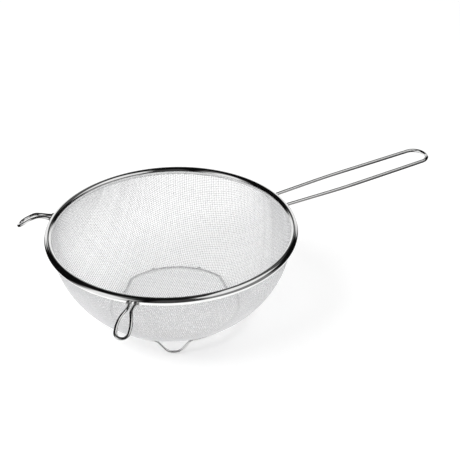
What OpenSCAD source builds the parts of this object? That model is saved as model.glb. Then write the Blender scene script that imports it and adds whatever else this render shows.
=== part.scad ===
// Round kitchen strainer. A bowl of woven wire cloth hangs in a rolled rim, which carries
// a long handle bent from one wire and two wire hooks that rest on the edge of a pot.
// A wire ring with three bent feet is spot-welded under the flat bottom.
// The origin is on the surface that the feet stand on, under the centre of the bowl.
// The handle points along +X.

/* [Rim] */
// Diameter of the rim, to the centre of its rolled band
rim_d = 200; // [170:1:240]
// Wall thickness of the rolled band
band_wall = 0.5; // [0.3:0.05:0.8]
// Diameter of the hoop wire that stiffens the band from inside
hoop_d = 3.4; // [2.4:0.1:4]
// Gap that is left on each side of the folded cloth inside the band
fold_gap = 0.05; // [0.03:0.01:0.1]
// Angle at which the folded edge of the cloth ends inside the band, below its outer side
fold_end = 25; // [0:5:40]

/* [Bowl] */
// Diameter of one wire of the woven cloth, which is two wires thick
cloth_wire_d = 0.45; // [0.3:0.05:0.6]
// Depth from the centre of the rim to the outer face of the flat bottom
bowl_depth = 71.3; // [55:0.1:90]
// Diameter at which the flat bottom would meet the wall if the corner were sharp
bottom_d = 108; // [100:1:120]
// Length of the rounded corner on each side of that diameter
corner_run = 2; // [1:0.5:4]
// Fullness of the wall: 2 is an ellipse and a higher value is squarer
wall_power = 2; // [1.8:0.1:2.6]
// Openings around the wall, in the plain grid that stands for the cloth's finer meshes
grid_around = 24; // [16:2:24]
// Rows of openings up the wall
grid_rows = 5; // [3:1:6]
// Openings across the flat bottom
grid_across = 7; // [5:2:9]
// Share of the grid's pitch that is solid between two openings
grid_bar = 0.27; // [0.2:0.01:0.4]
// Width of the rim of solid cloth round the bottom, where the stand is welded on
grid_margin = 6; // [5:0.5:10]

/* [Handle] */
// Diameter of the handle wire
handle_wire_d = 3.2; // [2.6:0.1:4.2]
// Reach of the handle from the centre of the bowl to the middle of its end bend
handle_reach = 261; // [220:1:320]
// Distance between the two runs of wire where they pass under the rim
handle_root_w = 18.8; // [14:0.2:26]
// Distance between the two runs where they bow out most
handle_bow_w = 24; // [20:0.5:30]
// Distance from the rim's centre line to that widest place
handle_bow_at = 62; // [40:1:80]
// Distance between the two runs at the end bend
handle_end_w = 22; // [18:0.5:28]
// Length of wire inside the rim's centre line, where it is welded under the band
handle_tuck = 0.5; // [0:0.1:0.7]

/* [Rest hooks] */
// Diameter of the hook wire
hook_wire_d = 3.1; // [2.6:0.1:3.3]
// Angle of each hook from the handle, around the bowl
hook_angle = 135; // [110:1:150]
// Drop of the hook's root below the centre of the rim
hook_root_drop = 1; // [0:0.1:1.5]
// Distance between the two legs where they are welded to the band
hook_root_w = 5.8; // [5.6:0.2:10]
// Distance between the two legs at the neck, where they almost touch
hook_neck_w = 3.6; // [3.5:0.1:5]
// Distance between the two legs in the loop
hook_loop_w = 11; // [9:0.5:15]
// Reach of the hook from the band's outer side to the middle of its end bend
hook_reach = 30.5; // [27:0.5:40]
// Distance from the band's outer side to the neck
hook_neck_at = 5.6; // [5:0.2:7]
// Distance from the band's outer side to the bend where the hook starts to drop
hook_bend_at = 11.2; // [10:0.2:14]
// Length of the middle stretch of the hook, which slopes half as steeply as its end
hook_mid_run = 6.6; // [5:0.2:8]
// Slope of the hook's end below the horizontal
hook_slope = 34; // [26:1:50]

/* [Stand] */
// Diameter of the stand wire
stand_wire_d = 2.8; // [2:0.1:3.4]
// Distance from the corner of the flat bottom inwards to the centre of the stand ring's wire
stand_inset = 0; // [0:0.5:5]
// Drop from the ring to the lowest run of each foot, between wire centres
foot_drop = 10; // [8:0.2:16]
// Width of each foot where it leaves the ring
foot_top_w = 28; // [24:0.5:36]
// Width of each foot along the floor, between its two lower bends
foot_base_w = 10; // [8:0.5:14]
// Outward lean of the foot between ring and floor
foot_lean = 2; // [0:0.5:5]
// Straight run of ring wire before the foot's upper bend
foot_lead = 3; // [2.4:0.2:5]
// Inner line radius of the foot's upper bends
foot_top_bend = 4; // [2:0.5:4.5]
// Inner line radius of the foot's lower bends
foot_base_bend = 6; // [3:0.5:7]
// Depth of the flat worn and pressed under each foot
foot_flat = 0.25; // [0.1:0.05:0.5]

/* [Welds] */
// Gap between welded wires, which the weld metal fills
weld_gap = 0.1; // [0.05:0.05:0.3]
// Radius of the beads that hold the handle under the band
handle_bead_r = 2.2; // [1.8:0.1:2.8]
// Radius of the beads that hold the hooks to the side of the band
hook_bead_r = 2.3; // [1.9:0.1:2.8]
// Radius of the spots that hold the stand ring to the cloth
stand_bead_r = 1.5; // [0.8:0.1:1.8]
// Angle between the two spots on each third of the stand ring
stand_bead_spread = 44; // [20:1:60]

/* [Hidden] */
$fn = 64;

feet = 3;
wall_steps = 20;
corner_steps = 5;
fold_steps = 15;
wire_sides = 12;
bend_step = 12;
ring_step = 5;
bend_share = 0.49;
fine = 360;
steel = "silver";
bright = "gainsboro";
weld_grey = "darkgray";

cloth_t = 2 * cloth_wire_d;
rim_r = rim_d / 2;
fold_r = hoop_d / 2 + fold_gap;
band_r = fold_r + cloth_t + fold_gap + band_wall;
stand_r = bottom_d / 2 - stand_inset;
stand_z = stand_wire_d / 2 - foot_flat + foot_drop;
bottom_z = stand_z + stand_wire_d / 2 + weld_gap;
rim_z = bottom_z + bowl_depth;
handle_z = rim_z - band_r - weld_gap - handle_wire_d / 2;
hook_z = rim_z - hook_root_drop;
hook_r = rim_r + band_r + weld_gap;
third = 360 / feet;

// Small helpers for vectors and lines
function unit(v) = v / norm(v);
function mix(a, b, t) = a + (b - a) * t;
function backwards(p) = [for (i = [len(p) - 1:-1:0]) p[i]];
function both_sides(p) = concat(p, [for (q = backwards(p)) [q[0], -q[1], q[2]]]);
function turned(p, a) =
    [for (q = p) [q[0] * cos(a) - q[1] * sin(a), q[0] * sin(a) + q[1] * cos(a), q[2]]];

// The arc of radius r that rounds point i of the route p, or a smaller one on a short run
function rounded(p, i, r) =
    let (
        u = unit(p[i] - p[i - 1]),
        v = unit(p[i + 1] - p[i]),
        a = acos(min(1, u * v)))
    a < 0.1 ? [p[i]] :
    let (
        room = bend_share * min(norm(p[i] - p[i - 1]), norm(p[i + 1] - p[i])),
        q = min(r, room / tan(a / 2)),
        n = unit(v - (v * u) * u),
        c = p[i] - q * tan(a / 2) * u + q * n,
        steps = ceil(a / bend_step) + 1)
    [for (k = [0:steps]) c + q * (sin(a * k / steps) * u - cos(a * k / steps) * n)];

// The centre line of a wire bent along the route p, with bend radius r[i] at point i
function bent(p, r) =
    concat([p[0]], [for (i = [1:len(p) - 2]) each rounded(p, i, r[i])], [p[len(p) - 1]]);

// The direction of the line p at point i
function heading(p, i, closed) =
    let (n = len(p))
    closed ? unit(p[(i + 1) % n] - p[(i + n - 1) % n]) :
    unit(p[min(i + 1, n - 1)] - p[max(i - 1, 0)]);

// A round wire of diameter d along the line p, pressed flat where it meets the ground
module wire(p, d, closed = false) {
    n = len(p);
    s = wire_sides;
    points = [for (i = [0:n - 1])
        let (t = heading(p, i, closed), side = unit(cross([0, 0, 1], t)), up = cross(t, side))
        for (k = [0:s - 1])
            let (q = p[i] + d / 2 * (cos(360 * k / s) * side + sin(360 * k / s) * up))
            [q[0], q[1], max(q[2], 0)]];
    skin = [for (i = [0:closed ? n - 1 : n - 2], k = [0:s - 1])
        let (a = i * s, b = (i + 1) % n * s, m = (k + 1) % s)
        each [[a + k, b + k, b + m], [a + k, b + m, a + m]]];
    ends = closed ? [] : [[for (k = [0:s - 1]) k], [for (k = [s - 1:-1:0]) (n - 1) * s + k]];
    polyhedron(points, concat(skin, ends));
}

// A straight stretch of wire from a to b, which lie at one height
module rod(a, b, d) {
    translate(a) rotate([0, 90, atan2(b[1] - a[1], b[0] - a[0])]) cylinder(h = norm(b - a), d = d);
}

// Half-depth of the cloth's middle surface, as points from the centre of the bottom outwards
mid_depth = bowl_depth - cloth_t / 2;
mid_top = rim_r - fold_r - cloth_t / 2;
corner_r = bottom_d / 2;
wall_b = mid_depth / pow(1 - pow(corner_r / mid_top, wall_power), 1 / wall_power);
function wall_depth(r) = wall_b * pow(1 - pow(r / mid_top, wall_power), 1 / wall_power);
function wall_point(t) = [mid_top * pow(1 - pow(t / wall_b, wall_power), 1 / wall_power), -t];
corner_in = [corner_r - corner_run, -mid_depth];
corner_tip = [corner_r, -mid_depth];
corner_out = [corner_r + corner_run, -wall_depth(corner_r + corner_run)];
function corner_point(t) = mix(mix(corner_in, corner_tip, t), mix(corner_tip, corner_out, t), t);
function fold_point(a) = [rim_r, 0] + (fold_r + cloth_t / 2) * [cos(a), sin(a)];
cloth_line = concat(
    [[0, -mid_depth]],
    [for (i = [0:corner_steps]) corner_point(i / corner_steps)],
    [for (i = [1:wall_steps - 1]) wall_point(-corner_out[1] * cos(90 * i / wall_steps))],
    [for (i = [0:fold_steps]) fold_point(mix(180, -fold_end, i / fold_steps))]);

// The line p moved sideways by s
function across(p, i) =
    i == 0 ? [0, 1] :
    let (d = unit(p[min(i + 1, len(p) - 1)] - p[i - 1])) [-d[1], d[0]];
function moved(p, s) = [for (i = [0:len(p) - 1]) p[i] + s * across(p, i)];

// The cloth's under side up to a third of its height, where the stand's welds meet it
cloth_under = [for (q = moved(cloth_line, -cloth_t / 2)) if (q[1] < -mid_depth * 2 / 3) q];

// Square openings across the flat bottom
grid_floor_r = corner_in[0] - grid_margin;
grid_pitch = 2 * grid_floor_r / (grid_across + grid_bar);
grid_hole = grid_pitch * (1 - grid_bar);
grid_cut = 5 * cloth_t;
module floor_openings() {
    half = (grid_across - 1) / 2;
    for (i = [-half:half], j = [-half:half])
        let (corner = grid_pitch * [abs(i), abs(j)] + grid_hole / 2 * [1, 1])
        if (norm(corner) < grid_floor_r)
            translate([i * grid_pitch, j * grid_pitch, -mid_depth])
                cube([grid_hole, grid_hole, grid_cut], center = true);
}

// Rows of openings up the wall, from the rounded corner to just under the band
grid_low = asin(pow(corner_out[0] / mid_top, wall_power / 2));
grid_high = acos(pow((band_r + grid_margin / 2) / wall_b, wall_power / 2));
function grid_point(a) =
    [mid_top * pow(sin(a), 2 / wall_power), 0, -wall_b * pow(cos(a), 2 / wall_power)];
module wall_opening(row) {
    low = grid_point(mix(grid_low, grid_high, (row + grid_bar / 2) / grid_rows));
    high = grid_point(mix(grid_low, grid_high, (row + 1 - grid_bar / 2) / grid_rows));
    run = norm(high - low) / 2;
    side = PI / grid_around * (1 - grid_bar);
    translate((low + high) / 2) rotate([0, -atan2(high[2] - low[2], high[0] - low[0]), 0])
        linear_extrude(grid_cut, center = true)
            polygon([[-run, -side * low[0]], [run, -side * high[0]],
                     [run, side * high[0]], [-run, side * low[0]]]);
}

// The woven cloth as one skin with a plain grid of openings, its edge folded round the hoop wire
module mesh_bowl() {
    color(steel) translate([0, 0, rim_z]) difference() {
        rotate_extrude($fn = 96)
            polygon(concat(moved(cloth_line, cloth_t / 2), backwards(moved(cloth_line, -cloth_t / 2))));
        floor_openings();
        for (row = [0:grid_rows - 1], k = [0:grid_around - 1])
            rotate([0, 0, 360 * (k + 0.5) / grid_around]) wall_opening(row);
    }
}

// A round section that runs right round the rim
module rim_ring(r) {
    translate([0, 0, rim_z]) rotate_extrude($fn = fine) translate([rim_r, 0]) circle(r);
}

// The rolled band, open below along the line where the cloth leaves it
module rim_band() {
    slot_in = fold_r + cloth_t + fold_gap;
    slot_out = fold_r - fold_gap;
    color(bright) translate([0, 0, rim_z]) rotate_extrude($fn = 96) translate([rim_r, 0])
        difference() {
            circle(band_r, $fn = 48);
            circle(band_r - band_wall, $fn = 48);
            translate([-slot_in, -2 * band_r]) square([slot_in - slot_out, 2 * band_r]);
        }
}

module rim_hoop_wire() {
    color(steel) rim_ring(hoop_d / 2);
}

// The handle's route, from one weld out to the end bend and back to the other weld
handle_bow = rim_r + handle_bow_at;
handle_side = [[rim_r - handle_tuck, handle_root_w / 2, handle_z],
               [handle_bow, handle_bow_w / 2, handle_z],
               [handle_reach, handle_end_w / 2, handle_z]];
handle_route = both_sides(handle_side);
handle_bow_r = 500;
handle_bends = [0, handle_bow_r, handle_end_w / 2, handle_end_w / 2, handle_bow_r, 0];

module handle() {
    color(bright) wire(bent(handle_route, handle_bends), handle_wire_d);
}

// A hook's route, drawn as if it pointed along +X
hook_half = hook_slope / 2;
hook_bend = [hook_r + hook_bend_at, hook_z];
hook_mid = hook_bend + hook_mid_run * [cos(hook_half), -sin(hook_half)];
hook_tip_x = hook_r + hook_reach;
hook_tip_z = hook_mid[1] - (hook_tip_x - hook_mid[0]) * tan(hook_slope);
hook_loop_run = norm([hook_tip_x - hook_mid[0], hook_tip_z - hook_mid[1]]);
hook_shoulder = hook_mid + 0.33 * hook_loop_run * [cos(hook_slope), -sin(hook_slope)];
hook_side = [[hook_r, hook_root_w / 2, hook_z],
             [hook_r + hook_neck_at, hook_neck_w / 2, hook_z],
             [hook_bend[0], mix(hook_neck_w, hook_loop_w, 0.12) / 2, hook_bend[1]],
             [hook_mid[0], mix(hook_neck_w, hook_loop_w, 0.75) / 2, hook_mid[1]],
             [hook_shoulder[0], hook_loop_w / 2, hook_shoulder[1]],
             [hook_tip_x, hook_loop_w / 2, hook_tip_z]];
hook_route = both_sides(hook_side);
hook_bend_r = 5;
hook_bends = [for (i = [0:len(hook_route) - 1]) hook_bend_r];

module rest_hook() {
    wire(bent(hook_route, hook_bends), hook_wire_d);
}

module rest_hook_left() {
    color(bright) rotate([0, 0, hook_angle]) rest_hook();
}

module rest_hook_right() {
    color(bright) rotate([0, 0, -hook_angle]) rest_hook();
}

// One foot, from the ring down to the floor and back, drawn as if it pointed along +X
lead_r = norm([stand_r, foot_lead]);
foot_top_x = sqrt(lead_r * lead_r - foot_top_w * foot_top_w / 4);
foot_turn = asin(foot_top_w / 2 / lead_r) + atan(foot_lead / stand_r);
foot_side = [[stand_r * cos(foot_turn), stand_r * sin(foot_turn), stand_z],
             [foot_top_x, foot_top_w / 2, stand_z],
             [foot_top_x + foot_lean, foot_base_w / 2, stand_z - foot_drop]];
foot_bends = [0, foot_top_bend, foot_base_bend, foot_base_bend, foot_top_bend, 0];
foot = bent(both_sides(foot_side), foot_bends);

// A third of the stand's wire: one foot and the stretch of ring up to the next one
stretch = third - 2 * foot_turn;
stretch_steps = ceil(stretch / ring_step);
ring_stretch = [for (i = [1:stretch_steps - 1])
    let (a = -foot_turn - stretch * i / stretch_steps) [stand_r * cos(a), stand_r * sin(a), stand_z]];
stand_third = concat(foot, ring_stretch);

// The ring and its feet are one wire, flat where the feet meet the floor
module foot_ring() {
    stand_line = [for (k = [0:feet - 1]) each turned(stand_third, -third * k)];
    color(bright) wire(stand_line, stand_wire_d, closed = true);
}

// A bead of weld metal under the band at each end of the handle
module handle_welds() {
    bead_x = sqrt(rim_r * rim_r - handle_root_w * handle_root_w / 4);
    lead = handle_side[0] - 3 * unit(handle_side[1] - handle_side[0]);
    color(weld_grey) for (side = [0, 1]) mirror([0, side, 0]) difference() {
        translate([bead_x, handle_root_w / 2, rim_z - band_r - weld_gap / 2])
            sphere(handle_bead_r);
        rim_ring(band_r);
        rod(lead, handle_side[1], handle_wire_d);
    }
}

// A bead round each leg of each hook, where it meets the side of the band
module hook_welds() {
    color(weld_grey) for (hook = [1, -1], side = [0, 1])
        rotate([0, 0, hook * hook_angle]) mirror([0, side, 0]) difference() {
            translate(hook_side[0]) sphere(hook_bead_r);
            rim_ring(band_r);
            rod(hook_side[0], hook_side[1], hook_wire_d);
        }
}

// Spots of weld metal between the stand ring and the cloth
module stand_welds() {
    color(weld_grey) for (k = [0:feet - 1], side = [-0.5, 0.5])
        rotate([0, 0, third * (k + 0.5) + side * stand_bead_spread]) difference() {
            translate([stand_r, 0, bottom_z - weld_gap]) sphere(stand_bead_r);
            translate([0, 0, stand_z]) rotate_extrude($fn = 96)
                translate([stand_r, 0]) circle(d = stand_wire_d, $fn = 32);
            translate([0, 0, rim_z]) rotate_extrude($fn = 96) polygon(concat([[0, 0]], cloth_under));
        }
}

mesh_bowl();
rim_band();
rim_hoop_wire();
handle();
rest_hook_left();
rest_hook_right();
foot_ring();
handle_welds();
hook_welds();
stand_welds();
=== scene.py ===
"""Round kitchen strainer: bowl of woven wire cloth, rolled rim, wire handle, two rest hooks and
a wire stand. Metres, +Z up, handle along +X, origin on the floor under the bowl's centre."""
import math

import bmesh
import bpy
import numpy as np
from mathutils import Matrix, Quaternion, Vector


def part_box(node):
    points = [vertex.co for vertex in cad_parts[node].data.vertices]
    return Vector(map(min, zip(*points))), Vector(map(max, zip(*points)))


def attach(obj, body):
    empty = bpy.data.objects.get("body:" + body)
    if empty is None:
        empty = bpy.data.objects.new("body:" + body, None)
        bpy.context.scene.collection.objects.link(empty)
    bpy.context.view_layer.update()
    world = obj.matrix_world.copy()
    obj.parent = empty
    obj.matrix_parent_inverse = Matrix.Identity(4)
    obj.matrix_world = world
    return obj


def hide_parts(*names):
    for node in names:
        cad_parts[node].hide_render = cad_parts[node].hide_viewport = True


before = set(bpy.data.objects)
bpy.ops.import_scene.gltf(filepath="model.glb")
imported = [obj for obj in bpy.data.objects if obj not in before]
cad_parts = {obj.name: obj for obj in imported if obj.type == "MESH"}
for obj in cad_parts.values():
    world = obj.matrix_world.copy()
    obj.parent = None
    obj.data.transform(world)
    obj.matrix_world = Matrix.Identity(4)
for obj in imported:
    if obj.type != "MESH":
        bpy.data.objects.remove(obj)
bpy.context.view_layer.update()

MM = 0.001
BODY = "root"

# Rim
RIM_R = 100 * MM
BAND_R = 3.2 * MM
BAND_WALL = 0.5 * MM
BAND_SLOT = (-2.7 * MM, -1.7 * MM)
RIM_Z = sum(corner.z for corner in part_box("rim_hoop_wire")) / 2
FOLD_R = 1.75 * MM

# Bowl
CLOTH_WIRE = 0.45 * MM
CLOTH_PITCH = 1.65 * MM
CLOTH_TURN = 45
CLOTH_PARTS = 3
BOWL_DEPTH = 71.3 * MM
BOTTOM_R = 54 * MM
CORNER_RUN = 2 * MM
FOLD_END = 25

# Handle
HANDLE_WIRE = 3.2 * MM
HANDLE_REACH = 261 * MM
HANDLE_ROOT_W = 18.8 * MM
HANDLE_BOW_W = 24 * MM
HANDLE_BOW_AT = 62 * MM
HANDLE_END_W = 22 * MM
HANDLE_TUCK = 0.5 * MM

# Rest hooks
HOOK_WIRE = 3.1 * MM
HOOK_ANGLE = 135
HOOK_ROOT_DROP = 1 * MM
HOOK_ROOT_W = 5.8 * MM
HOOK_NECK_W = 3.6 * MM
HOOK_LOOP_W = 11 * MM
HOOK_REACH = 30.5 * MM
HOOK_NECK_AT = 5.6 * MM
HOOK_BEND_AT = 11.2 * MM
HOOK_MID_RUN = 6.6 * MM
HOOK_SLOPE = 34
HOOK_BEND = 20 * MM
HOOK_WIDEST = 0.4
HOOK_ROUND_AT = 0.8
HOOK_TIP_W = 5.2 * MM

# Stand
STAND_WIRE = 2.8 * MM
STAND_R = 54 * MM
FOOT_DROP = 10 * MM
FOOT_TOP_W = 28 * MM
FOOT_BASE_W = 10 * MM
FOOT_LEAN = 2 * MM
FOOT_LEAD = 3 * MM
FOOT_TOP_BEND = 7 * MM
FOOT_BASE_BEND = 9.5 * MM
FOOT_FLAT = 0.25 * MM
FEET = 3
WELD_GAP = 0.1 * MM

STAND_Z = STAND_WIRE / 2 - FOOT_FLAT + FOOT_DROP
HANDLE_Z = RIM_Z - BAND_R - WELD_GAP - HANDLE_WIRE / 2
HOOK_Z = RIM_Z - HOOK_ROOT_DROP
HOOK_R = RIM_R + BAND_R + WELD_GAP

# Photograph's camera
FRAME_PX = 460
FOCAL_PX = 1224.8
SENSOR_MM = 36
RIM_CENTRE_PX = (171.46, 230.47)
CAMERA_DISTANCE = 1.0
CAMERA_AZIMUTH = 242.8
CAMERA_ELEVATION = 32.01
CAMERA_ROLL = -2.81

# Light
FLOOR_WHITE = 0.8
FLOOR_GLOW = 0.3
SKY_LIGHT = 0.72
KEY_POWER = 14

# Room that the polish mirrors: panels by their azimuths to the right of the line of sight, their
# elevations, their brightness and the width of their soft edges, with dark between them. Polish sees
# the floor white only between two lines beside the strainer and up to its reach, past them the room.
ROOM_DARK = 0.003
ROOM = (
    (-43, -4, -95, 12, 0.95, 5),
    (-36, -4, -95, 21, 0.95, 4),
    (-29, -4, -95, 30, 0.95, 3),
    (4, 44, -95, 12, 0.95, 4),
    (4, 38, -95, 20, 0.95, 4),
    (4, 28, -95, 29, 0.95, 3),
    (-14, 24, 18, 33, 0.14, 5),
    (-131, -106, -95, 42, 0.95, 7),
    (-143, -106, -95, 34, 0.95, 13),
    (-130, -104, 30, 66, 0.16, 8),
    (93, 156, -95, 34, 0.22, 6),
    (70, 153, 30, 72, 0.8, 7),
    (5, 60, 40, 60, 0.1, 6),
    (-190, -160, -95, 68, 0.06, 5),
    (150, 190, -95, 68, 0.05, 5),
)
CEILING_PANEL = (0.12, 0.55, -0.4, 0.09)
CEILING_Z = 0.45
LEFT_SCREEN_AT = 0.16
RIGHT_SCREEN_AT = 0.2
SCREENS_SOFT = 0.03
FLOOR_REACH = 0.5
FLOOR_FADE = 0.2


# Points and lines

def vec(x, y, z):
    return np.array((x, y, z), float)


def unit(v):
    return v / np.linalg.norm(v)


def both_sides(route):
    """The route followed by its mirror image across the plane y = 0, run backwards."""
    return route + [p * (1, -1, 1) for p in reversed(route)]


def turned(points, degrees):
    """The points turned about the upright axis."""
    c, s = math.cos(math.radians(degrees)), math.sin(math.radians(degrees))
    return [vec(p[0] * c - p[1] * s, p[0] * s + p[1] * c, p[2]) for p in points]


def rounded(before, corner, after, radius, step=5):
    """The arc that rounds a corner of a bent wire, or a smaller one on a short run."""
    u, v = unit(corner - before), unit(after - corner)
    angle = math.acos(min(1, float(u @ v)))
    if angle < 0.002:
        return [corner]
    room = 0.49 * min(np.linalg.norm(corner - before), np.linalg.norm(after - corner))
    radius = min(radius, room / math.tan(angle / 2))
    n = unit(v - (v @ u) * u)
    centre = corner - radius * math.tan(angle / 2) * u + radius * n
    steps = math.ceil(math.degrees(angle) / step) + 1
    return [centre + radius * (math.sin(angle * k / steps) * u - math.cos(angle * k / steps) * n)
            for k in range(steps + 1)]


def bent(route, radii):
    """The centre line of a wire bent along the route."""
    line = [route[0]]
    for i in range(1, len(route) - 1):
        line += rounded(route[i - 1], route[i], route[i + 1], radii[i])
    return line + [route[-1]]


# Materials

class Nodes:
    """A material's node tree, with short calls to add and join its nodes."""

    def __init__(self, name):
        self.material = bpy.data.materials.new(name)
        self.material.use_nodes = True
        self.tree = self.material.node_tree
        self.tree.nodes.clear()
        self.shader = self.add("ShaderNodeBsdfPrincipled")
        self.output = self.add("ShaderNodeOutputMaterial")
        self.join(self.shader, "BSDF", self.output, "Surface")
        self.place = self.add("ShaderNodeTexCoord")

    def add(self, kind, **values):
        node = self.tree.nodes.new(kind)
        for name, value in values.items():
            if hasattr(node, name):
                setattr(node, name, value)
            else:
                node.inputs[name.replace("_", " ").title()].default_value = value
        return node

    def join(self, source, output, target, entry):
        self.tree.links.new(source.outputs[output], target.inputs[entry])

    def noise(self, scale, detail=2.0, stretch=None):
        """A noise over the object, finer along the axes that stretch makes larger."""
        texture = self.add("ShaderNodeTexNoise")
        texture.inputs["Scale"].default_value = scale
        texture.inputs["Detail"].default_value = detail
        if stretch:
            mapping = self.add("ShaderNodeMapping")
            mapping.inputs["Scale"].default_value = stretch
            self.join(self.place, "Object", mapping, "Vector")
            self.join(mapping, "Vector", texture, "Vector")
        else:
            self.join(self.place, "Object", texture, "Vector")
        return texture

    def between(self, source, low, high, entry):
        """Drives a socket of the shader with the source's value, spread from low to high."""
        spread = self.add("ShaderNodeMapRange")
        spread.inputs["To Min"].default_value = low
        spread.inputs["To Max"].default_value = high
        self.join(source, "Fac", spread, "Value")
        self.join(spread, "Result", self.shader, entry)

    def colours(self, source, dark, light):
        """Drives the colour from dark to light with the source's value."""
        ramp = self.add("ShaderNodeValToRGB")
        ramp.color_ramp.elements[0].position = 0.3
        ramp.color_ramp.elements[0].color = (*dark, 1)
        ramp.color_ramp.elements[1].position = 0.7
        ramp.color_ramp.elements[1].color = (*light, 1)
        self.join(source, "Fac", ramp, "Fac")
        self.join(ramp, "Color", self.shader, "Base Color")

    def bump(self, source, depth, strength=1.0):
        bump = self.add("ShaderNodeBump")
        bump.inputs["Distance"].default_value = depth
        bump.inputs["Strength"].default_value = strength
        self.join(source, "Fac", bump, "Height")
        self.join(bump, "Normal", self.shader, "Normal")


def metal(name, dark, light, smooth, rough, patch, grain, depth, metallic=1.0):
    """A metal whose colour and roughness drift in patches, with a fine grain in its surface."""
    m = Nodes(name)
    m.shader.inputs["Metallic"].default_value = metallic
    patches = m.noise(patch, 3)
    m.colours(patches, dark, light)
    m.between(patches, smooth, rough, "Roughness")
    m.bump(m.noise(grain, 2), depth)
    return m.material


def polished_rim():
    return metal("polished_rim", (0.80, 0.80, 0.80), (0.90, 0.90, 0.895), 0.03, 0.07, 60, 900, 2e-6)


def polished_wire():
    return metal("polished_wire", (0.76, 0.76, 0.76), (0.87, 0.87, 0.865), 0.04, 0.08, 80, 1500, 2e-6)


def woven_cloth():
    return metal("woven_cloth", (0.96, 0.96, 0.97), (0.98, 0.98, 0.99), 0.16, 0.22, 40, 3000, 1e-6, 0.45)


def drawn_wire():
    return metal("drawn_wire", (0.52, 0.52, 0.52), (0.62, 0.62, 0.61), 0.28, 0.4, 120, 2500, 4e-6)


def weld_metal():
    return metal("weld_metal", (0.46, 0.455, 0.45), (0.72, 0.715, 0.71), 0.25, 0.42, 700, 1800, 4e-5)


# Pieces

def finished(piece, material, slot, *nodes):
    """Gives a piece its finish, puts it on the strainer and hides the nodes that it stands for."""
    piece.data.materials.clear()
    piece.data.materials.append(material)
    bpy.context.scene.collection.objects.link(piece)
    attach(piece, BODY)
    if nodes:
        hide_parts(*nodes)
    return piece


def wires(name, lines, diameter, resolution, closed=False):
    """A curve of round wires, one spline for each line of points."""
    curve = bpy.data.curves.new(name, "CURVE")
    curve.dimensions = "3D"
    curve.bevel_depth = diameter / 2
    curve.bevel_resolution = resolution
    curve.use_fill_caps = not closed
    for line in lines:
        spline = curve.splines.new("POLY")
        spline.points.add(len(line) - 1)
        spline.points.foreach_set("co", np.c_[np.array(line), np.ones(len(line))].ravel())
        spline.use_cyclic_u = closed
        spline.use_smooth = True
    return bpy.data.objects.new(name, curve)


def worn_flat(curve):
    """The curve's wire as a mesh, pressed flat where it meets the floor."""
    bpy.context.scene.collection.objects.link(curve)
    mesh = bpy.data.meshes.new_from_object(curve.evaluated_get(bpy.context.evaluated_depsgraph_get()))
    bpy.context.scene.collection.objects.unlink(curve)
    for vertex in mesh.vertices:
        vertex.co.z = max(vertex.co.z, 0)
    return bpy.data.objects.new(curve.name, mesh)


def spun(name, section, steps):
    """A mesh spun right round the bowl's axis from a closed section of (radius, height) points."""
    bm = bmesh.new()
    verts = [bm.verts.new((r, 0, z)) for r, z in section]
    edges = [bm.edges.new((verts[i], verts[(i + 1) % len(verts)])) for i in range(len(verts))]
    bmesh.ops.spin(bm, geom=verts + edges, cent=(0, 0, 0), axis=(0, 0, 1), dvec=(0, 0, 0),
                   angle=math.tau, steps=steps, use_merge=True)
    bmesh.ops.remove_doubles(bm, verts=bm.verts, dist=1e-7)
    bmesh.ops.recalc_face_normals(bm, faces=bm.faces)
    for face in bm.faces:
        face.smooth = True
    mesh = bpy.data.meshes.new(name)
    bm.to_mesh(mesh)
    bm.free()
    return bpy.data.objects.new(name, mesh)


def rolled_band():
    """The rim's band, rolled from sheet, open below where the cloth leaves it."""
    inside = BAND_R - BAND_WALL

    def arc(radius, start, end, steps=48):
        return [(RIM_R + radius * math.cos(a), RIM_Z + radius * math.sin(a))
                for a in np.linspace(start, end, steps + 1)]

    def lip(radius, x):
        """The angle at which the slot's side, at the distance x from the tube's middle, ends it."""
        return math.acos(max(x / radius, -1))

    outer = arc(BAND_R, -lip(BAND_R, BAND_SLOT[1]), math.tau - lip(BAND_R, BAND_SLOT[0]))
    inner = arc(inside, math.pi, -lip(inside, BAND_SLOT[1]))
    return spun("rolled_band", outer + inner, 288)


def handle_line():
    """The handle's centre line, a long hairpin that bows out a little."""
    side = [vec(RIM_R - HANDLE_TUCK, HANDLE_ROOT_W / 2, HANDLE_Z),
            vec(RIM_R + HANDLE_BOW_AT, HANDLE_BOW_W / 2, HANDLE_Z),
            vec(HANDLE_REACH, HANDLE_END_W / 2, HANDLE_Z)]
    return bent(both_sides(side), [0, 0.5, HANDLE_END_W / 2, HANDLE_END_W / 2, 0.5, 0])


def hook_line(degrees):
    """A rest hook's centre line: two legs, a narrow neck and a teardrop loop that hangs down."""
    half, slope = math.radians(HOOK_SLOPE / 2), math.radians(HOOK_SLOPE)
    mid_x = HOOK_R + HOOK_BEND_AT + HOOK_MID_RUN * math.cos(half)
    mid_z = HOOK_Z - HOOK_MID_RUN * math.sin(half)
    tip_x = HOOK_R + HOOK_REACH
    tip_z = mid_z - (tip_x - mid_x) * math.tan(slope)

    def width(share):
        return (HOOK_NECK_W + (HOOK_LOOP_W - HOOK_NECK_W) * share) / 2

    def down(share, y):
        """A point of the loop, part of the way from its bend to its tip."""
        return vec(mid_x + share * (tip_x - mid_x), y, mid_z + share * (tip_z - mid_z))

    side = [vec(HOOK_R, HOOK_ROOT_W / 2, HOOK_Z),
            vec(HOOK_R + HOOK_NECK_AT, HOOK_NECK_W / 2, HOOK_Z),
            vec(HOOK_R + HOOK_BEND_AT, width(0.12), HOOK_Z),
            down(0, width(0.75)),
            down(HOOK_WIDEST, width(1)),
            down(HOOK_ROUND_AT, width(0.93)),
            down(1, HOOK_TIP_W / 2)]
    route = both_sides(side)
    return turned(bent(route, [HOOK_BEND] * len(route)), degrees)


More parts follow.
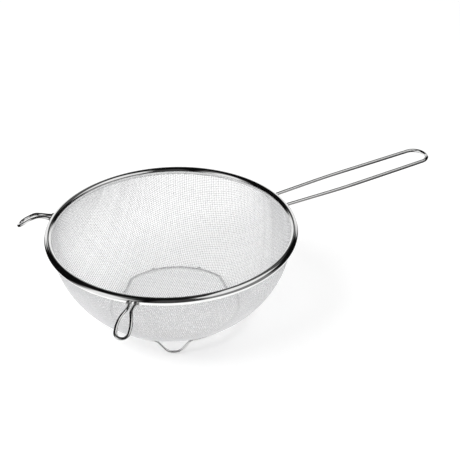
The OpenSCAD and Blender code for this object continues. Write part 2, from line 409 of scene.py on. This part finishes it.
def stand_line():
    """The stand's closed centre line: a ring that dips to the floor in three feet."""
    lead_r = math.hypot(STAND_R, FOOT_LEAD)
    top_x = math.sqrt(lead_r ** 2 - FOOT_TOP_W ** 2 / 4)
    turn = math.asin(FOOT_TOP_W / 2 / lead_r) + math.atan(FOOT_LEAD / STAND_R)
    side = [vec(STAND_R * math.cos(turn), STAND_R * math.sin(turn), STAND_Z),
            vec(top_x, FOOT_TOP_W / 2, STAND_Z),
            vec(top_x + FOOT_LEAN, FOOT_BASE_W / 2, STAND_Z - FOOT_DROP)]
    foot = bent(both_sides(side), [0, FOOT_TOP_BEND, FOOT_BASE_BEND, FOOT_BASE_BEND, FOOT_TOP_BEND, 0])
    stretch = math.tau / FEET - 2 * turn
    steps = 40
    ring = [vec(STAND_R * math.cos(a), STAND_R * math.sin(a), STAND_Z)
            for a in (-turn - stretch * k / steps for k in range(1, steps))]
    return [p for k in range(FEET) for p in turned(foot + ring, -360 / FEET * k)]


# Woven cloth

class BowlShape:
    """The bowl's middle surface, by distance from the centre of the bottom along the cloth."""

    def __init__(self):
        depth = BOWL_DEPTH - CLOTH_WIRE
        top = RIM_R - FOLD_R - CLOTH_WIRE
        height = depth / math.sqrt(1 - (BOTTOM_R / top) ** 2)

        def drop(r):
            return height * math.sqrt(1 - (r / top) ** 2)

        start = np.array((BOTTOM_R - CORNER_RUN, -depth))
        tip = np.array((BOTTOM_R, -depth))
        end = np.array((BOTTOM_R + CORNER_RUN, -drop(BOTTOM_R + CORNER_RUN)))
        t = np.linspace(0, 1, 21)[:, None]
        corner = (1 - t) ** 2 * start + 2 * t * (1 - t) * tip + t * t * end
        z = end[1] * np.cos(np.linspace(0, math.pi / 2, 200))[1:]
        wall = np.c_[top * np.sqrt(1 - (z / height) ** 2), z]
        a = np.radians(np.linspace(180, -FOLD_END, 60))[1:]
        fold = np.c_[RIM_R + (FOLD_R + CLOTH_WIRE) * np.cos(a), (FOLD_R + CLOTH_WIRE) * np.sin(a)]
        line = np.vstack([[(0, -depth)], corner, wall, fold])
        self.line = line
        self.along = np.r_[0, np.cumsum(np.linalg.norm(np.diff(line, axis=0), axis=1))]
        self.length = self.along[-1]

    def radius(self, s):
        return np.interp(s, self.along, self.line[:, 0])

    def place(self, s, angle):
        """Points on the surface, at the distance s along the cloth and at an angle around."""
        r = self.radius(s)
        return np.stack([r * np.cos(angle), r * np.sin(angle),
                         RIM_Z + np.interp(s, self.along, self.line[:, 1])], -1)


def quarter_net(shape, pitch):
    """Where the wires cross in a quarter of the bowl. Each crossing lies one pitch from the two
    before it, as cloth shears when it is pressed and its wires keep their length."""
    count = int(shape.length / pitch) + 2
    along = np.full((count, count), np.nan)
    around = np.full((count, count), np.nan)
    along[:, 0] = along[0, :] = np.arange(count) * pitch
    around[:, 0] = 0
    around[0, :] = math.pi / 2
    tiny = 1e-7
    for diagonal in range(2, 2 * count - 1):
        i = np.arange(max(1, diagonal - count + 1), min(diagonal, count))
        j = diagonal - i
        keep = (j >= 1) & (j < count)
        i, j = i[keep], j[keep]
        known = np.isfinite(along[i - 1, j]) & np.isfinite(along[i, j - 1])
        i, j = i[known], j[known]
        if not len(i):
            break
        a = shape.place(along[i - 1, j], around[i - 1, j])
        b = shape.place(along[i, j - 1], around[i, j - 1])
        guess = a + b - shape.place(along[i - 1, j - 1], around[i - 1, j - 1])
        s = np.maximum(along[i - 1, j], along[i, j - 1]) + 0.3 * pitch
        f = np.arctan2(guess[:, 1], guess[:, 0])
        for _ in range(25):
            p = shape.place(s, f)
            ps = (shape.place(s + tiny, f) - shape.place(s - tiny, f)) / (2 * tiny)
            pf = (shape.place(s, f + tiny) - shape.place(s, f - tiny)) / (2 * tiny)
            miss_a = ((p - a) ** 2).sum(-1) - pitch ** 2
            miss_b = ((p - b) ** 2).sum(-1) - pitch ** 2
            as_, af = 2 * ((p - a) * ps).sum(-1), 2 * ((p - a) * pf).sum(-1)
            bs, bf = 2 * ((p - b) * ps).sum(-1), 2 * ((p - b) * pf).sum(-1)
            scale = as_ * bf - af * bs
            scale = np.where(np.abs(scale) < 1e-18, np.nan, scale)
            limit = 0.5 * pitch / np.maximum(shape.radius(s), pitch)
            s = s + np.clip(-(miss_a * bf - miss_b * af) / scale, -0.5 * pitch, 0.5 * pitch)
            f = f + np.clip(-(as_ * miss_b - bs * miss_a) / scale, -limit, limit)
        lost = ~np.isfinite(s) | (s > shape.length)
        s[lost] = np.nan
        along[i, j], around[i, j] = s, f
    return along, around


def weave(shape, turn):
    """The lines of every wire of the cloth, as two lists: warp and weft."""
    along, around = quarter_net(shape, CLOTH_PITCH)
    count = len(along)
    rise = CLOTH_WIRE / 2

    def crossing(i, j):
        """Distance along and angle around of the crossing (i, j), over the whole bowl."""
        s, f = along[abs(i), abs(j)], around[abs(i), abs(j)]
        if i < 0:
            f = math.pi - f
        if j < 0:
            f = -f
        return s, f

    def point(s, f, side):
        e = 1e-6
        p = shape.place(s, f)
        u = shape.place(s + e, f) - shape.place(max(s - e, 0), f)
        v = np.array((-math.sin(f), math.cos(f), 0))
        n = unit(np.cross(v, u)) if np.linalg.norm(u) > 0 else np.array((0, 0, 1.0))
        return p + side * rise * n

    def wire(cells, sign):
        """The wire through the crossings, over one and under the next."""
        places = [shape.place(*crossing(*c)) for c in cells]
        line = []
        for k, cell in enumerate(cells):
            s, f = crossing(*cell)
            side = sign * (1 if (cell[0] + cell[1]) % 2 else -1)
            over = point(s, f, side) - places[k]
            before = places[k - 1] if k else places[k]
            after = places[k + 1] if k + 1 < len(cells) else places[k]
            line.append(places[k] + 0.25 * (before - places[k]) + over)
            line.append(places[k] + 0.25 * (after - places[k]) + over)
        return np.array(line)

    def runs(cells):
        """The stretches of a row of crossings that lie on the bowl."""
        run = []
        for cell in cells:
            if np.isfinite(along[abs(cell[0]), abs(cell[1])]):
                run.append(cell)
                continue
            if len(run) > 2:
                yield run
            run = []
        if len(run) > 2:
            yield run

    span = range(-count + 1, count)
    warp = [wire(run, 1) for j in span for run in runs([(i, j) for i in span])]
    weft = [wire(run, -1) for i in span for run in runs([(i, j) for j in span])]
    c, s = math.cos(math.radians(turn)), math.sin(math.radians(turn))
    spin = np.array(((c, s, 0), (-s, c, 0), (0, 0, 1)))
    return [w @ spin for w in warp], [w @ spin for w in weft]


def cloth_pieces():
    """The woven bowl, in a few pieces of neighbouring wires."""
    material = woven_cloth()
    shape = BowlShape()
    for name, lines in zip(("warp", "weft"), weave(shape, CLOTH_TURN)):
        share = math.ceil(len(lines) / CLOTH_PARTS)
        for k in range(CLOTH_PARTS):
            part = lines[k * share:(k + 1) * share]
            piece = wires(f"{name}_wires_{k + 1}", part, CLOTH_WIRE, 0)
            finished(piece, material, "woven_cloth", "mesh_bowl")


def strainer():
    """Every piece of the strainer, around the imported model."""
    wire_finish = polished_wire()
    finished(rolled_band(), polished_rim(), "polished_rim", "rim_band")
    cloth_pieces()
    finished(wires("handle_wire", [handle_line()], HANDLE_WIRE, 8), wire_finish,
             "polished_wire", "handle")
    for side, name in ((1, "left"), (-1, "right")):
        finished(wires(f"hook_wire_{name}", [hook_line(side * HOOK_ANGLE)], HOOK_WIRE, 8),
                 wire_finish, "polished_wire", f"rest_hook_{name}")
    finished(worn_flat(wires("stand_wire", [stand_line()], STAND_WIRE, 8, closed=True)), wire_finish,
             "polished_wire", "foot_ring")
    dress("rim_hoop_wire", drawn_wire())
    weld = weld_metal()
    for node in ("handle_welds", "hook_welds", "stand_welds"):
        dress(node, weld)


def dress(node, material):
    """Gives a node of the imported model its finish."""
    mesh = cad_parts[node].data
    mesh.materials.clear()
    mesh.materials.append(material)


# Stage

def calc(tree, operation, *values):
    """The output of a math node over numbers and other nodes' outputs."""
    node = tree.nodes.new("ShaderNodeMath")
    node.operation = operation
    for entry, value in zip(node.inputs, values):
        if isinstance(value, (int, float)):
            entry.default_value = value
        else:
            tree.links.new(value, entry)
    return node.outputs[0]


def step(tree, value, edge, soft):
    """Rises smoothly from 0 to 1 where the value passes the edge, or falls where soft is negative."""
    node = tree.nodes.new("ShaderNodeMapRange")
    node.interpolation_type = "SMOOTHSTEP"
    tree.links.new(value, node.inputs["Value"])
    node.inputs["From Min"].default_value = edge - abs(soft)
    node.inputs["From Max"].default_value = edge + abs(soft)
    node.inputs["To Min"].default_value = 0 if soft > 0 else 1
    node.inputs["To Max"].default_value = 1 if soft > 0 else 0
    return node.outputs["Result"]


def along(tree, direction, azimuth):
    """The share of a direction that points level at an azimuth."""
    node = tree.nodes.new("ShaderNodeVectorMath")
    node.operation = "DOT_PRODUCT"
    tree.links.new(direction, node.inputs[0])
    node.inputs[1].default_value = (math.cos(math.radians(azimuth)), math.sin(math.radians(azimuth)), 0)
    return node.outputs["Value"]


def floor():
    """A wide white floor that keeps the strainer's soft shadow."""
    bm = bmesh.new()
    bmesh.ops.create_grid(bm, x_segments=4, y_segments=4, size=6)
    mesh = bpy.data.meshes.new("floor")
    bm.to_mesh(mesh)
    bm.free()
    plane = bpy.data.objects.new("floor", mesh)
    material = bpy.data.materials.new("white_floor")
    material.use_nodes = True
    tree = material.node_tree
    shader = tree.nodes["Principled BSDF"]
    shader.inputs["Base Color"].default_value = (*[FLOOR_WHITE] * 3, 1)
    shader.inputs["Roughness"].default_value = 0.9
    shader.inputs["Specular IOR Level"].default_value = 0.1
    shader.inputs["Emission Color"].default_value = (1, 1, 1, 1)
    path = tree.nodes.new("ShaderNodeLightPath")
    seen = calc(tree, "MAXIMUM", path.outputs["Is Camera Ray"], path.outputs["Is Glossy Ray"])
    tree.links.new(calc(tree, "MULTIPLY", seen, FLOOR_GLOW), shader.inputs["Emission Strength"])
    place = tree.nodes.new("ShaderNodeTexCoord").outputs["Object"]
    right = along(tree, place, CAMERA_AZIMUTH - 270)
    ahead = calc(tree, "ABSOLUTE", along(tree, place, CAMERA_AZIMUTH - 180))
    beside = calc(tree, "MAXIMUM", step(tree, right, RIGHT_SCREEN_AT, SCREENS_SOFT),
                  step(tree, right, -LEFT_SCREEN_AT, -SCREENS_SOFT))
    past = calc(tree, "MAXIMUM", beside, step(tree, ahead, FLOOR_REACH, FLOOR_FADE))
    screens = tree.nodes.new("ShaderNodeEmission")
    tree.links.new(mirrored_room(tree, place), screens.inputs["Strength"])
    mixed = tree.nodes.new("ShaderNodeMixShader")
    tree.links.new(calc(tree, "MULTIPLY", past, path.outputs["Is Glossy Ray"]), mixed.inputs["Fac"])
    tree.links.new(shader.outputs["BSDF"], mixed.inputs[1])
    tree.links.new(screens.outputs["Emission"], mixed.inputs[2])
    tree.links.new(mixed.outputs["Shader"], tree.nodes["Material Output"].inputs["Surface"])
    mesh.materials.append(material)
    bpy.context.scene.collection.objects.link(plane)


def softbox(name, place, size, power):
    """A soft lamp that faces the strainer."""
    data = bpy.data.lights.new(name, "AREA")
    data.shape = "RECTANGLE"
    data.size, data.size_y = size
    data.energy = power
    lamp = bpy.data.objects.new(name, data)
    lamp.location = place
    lamp.rotation_euler = (Vector((0.05, 0, 0.05)) - Vector(place)).to_track_quat("-Z", "Y").to_euler()
    lamp.visible_glossy = False
    bpy.context.scene.collection.objects.link(lamp)


def ceiling_panel():
    """A white panel over the right of the strainer, for polish alone to mirror. Its sides are
    given to the right of the line of sight and along it."""
    right, far_right, near, ahead = CEILING_PANEL
    bm = bmesh.new()
    bmesh.ops.create_grid(bm, x_segments=1, y_segments=1, size=0.5)
    bmesh.ops.scale(bm, verts=bm.verts, vec=(far_right - right, ahead - near, 1))
    bmesh.ops.translate(bm, verts=bm.verts, vec=((right + far_right) / 2, (near + ahead) / 2, CEILING_Z))
    bmesh.ops.rotate(bm, verts=bm.verts, matrix=Matrix.Rotation(math.radians(CAMERA_AZIMUTH - 270), 3, "Z"))
    mesh = bpy.data.meshes.new("ceiling_panel")
    bm.to_mesh(mesh)
    bm.free()
    material = bpy.data.materials.new("panel_light")
    material.use_nodes = True
    material.node_tree.nodes.clear()
    light = material.node_tree.nodes.new("ShaderNodeEmission")
    light.inputs["Strength"].default_value = 0.95
    output = material.node_tree.nodes.new("ShaderNodeOutputMaterial")
    material.node_tree.links.new(light.outputs["Emission"], output.inputs["Surface"])
    mesh.materials.append(material)
    panel = bpy.data.objects.new("ceiling_panel", mesh)
    for ray in ("camera", "diffuse", "transmission", "volume_scatter", "shadow"):
        setattr(panel, f"visible_{ray}", False)
    bpy.context.scene.collection.objects.link(panel)


def mirrored_room(tree, direction):
    """What polish sees in a direction from the strainer: white walls and a backdrop, with dark
    gaps and a dark ceiling between them."""
    ahead = along(tree, direction, CAMERA_AZIMUTH - 180)
    right = along(tree, direction, CAMERA_AZIMUTH - 270)
    azimuth = calc(tree, "DEGREES", calc(tree, "ARCTAN2", right, ahead))
    split = tree.nodes.new("ShaderNodeSeparateXYZ")
    tree.links.new(direction, split.inputs[0])
    height = calc(tree, "DEGREES", calc(tree, "ARCSINE", split.outputs["Z"]))
    light = calc(tree, "ADD", ROOM_DARK, 0)
    for start, end, bottom, top, bright, soft in ROOM:
        across = calc(tree, "MULTIPLY", step(tree, azimuth, start, soft),
                      step(tree, azimuth, end, -soft))
        upright = calc(tree, "MULTIPLY", step(tree, height, bottom, soft),
                       step(tree, height, top, -soft))
        panel = calc(tree, "MULTIPLY", calc(tree, "MULTIPLY", across, upright), bright)
        light = calc(tree, "MAXIMUM", light, panel)
    return light


def sky():
    """Even white light all round, a white background, and for polish the room that it mirrors."""
    world = bpy.data.worlds.new("room")
    bpy.context.scene.world = world
    world.use_nodes = True
    tree = world.node_tree
    path = tree.nodes.new("ShaderNodeLightPath")
    camera_ray, glossy_ray = path.outputs["Is Camera Ray"], path.outputs["Is Glossy Ray"]
    plain = calc(tree, "SUBTRACT", 1, calc(tree, "MAXIMUM", camera_ray, glossy_ray))
    direction = tree.nodes.new("ShaderNodeTexCoord").outputs["Generated"]
    mirrored = calc(tree, "MULTIPLY", glossy_ray, mirrored_room(tree, direction))
    strength = calc(tree, "ADD", calc(tree, "MULTIPLY", plain, SKY_LIGHT),
                    calc(tree, "MAXIMUM", camera_ray, mirrored))
    light = tree.nodes["Background"]
    light.inputs["Color"].default_value = (1, 1, 1, 1)
    tree.links.new(strength, light.inputs["Strength"])


def stage():
    """The white floor, the room round it and one soft lamp."""
    floor()
    sky()
    ceiling_panel()
    softbox("key_lamp", (-1.0, -0.1, 1.3), (0.9, 0.9), KEY_POWER)
    bpy.context.scene.view_settings.view_transform = "Standard"


def camera():
    """The photograph's camera: aimed so that the rim's centre falls on its pixel."""
    az, el = math.radians(CAMERA_AZIMUTH), math.radians(CAMERA_ELEVATION)
    rim_centre = Vector((0, 0, RIM_Z))
    away = Vector((math.cos(el) * math.cos(az), math.cos(el) * math.sin(az), math.sin(el)))
    data = bpy.data.cameras.new("camera")
    data.sensor_width = SENSOR_MM
    data.lens = FOCAL_PX / FRAME_PX * SENSOR_MM
    data.clip_start = 0.01
    centre = Vector(((RIM_CENTRE_PX[0] - FRAME_PX / 2) / FOCAL_PX,
                     (FRAME_PX / 2 - RIM_CENTRE_PX[1]) / FOCAL_PX, -1)).normalized()
    aim = (-away).to_track_quat("-Z", "Y")
    roll = Quaternion((0, 0, 1), math.radians(CAMERA_ROLL))
    offset = centre.rotation_difference(Vector((0, 0, -1)))
    eye = bpy.data.objects.new("camera", data)
    eye.rotation_mode = "QUATERNION"
    eye.location = rim_centre + CAMERA_DISTANCE * away
    eye.rotation_quaternion = aim @ roll @ offset
    bpy.context.scene.collection.objects.link(eye)
    bpy.context.scene.camera = eye


camera()
stage()
strainer()
bpy.context.view_layer.update()
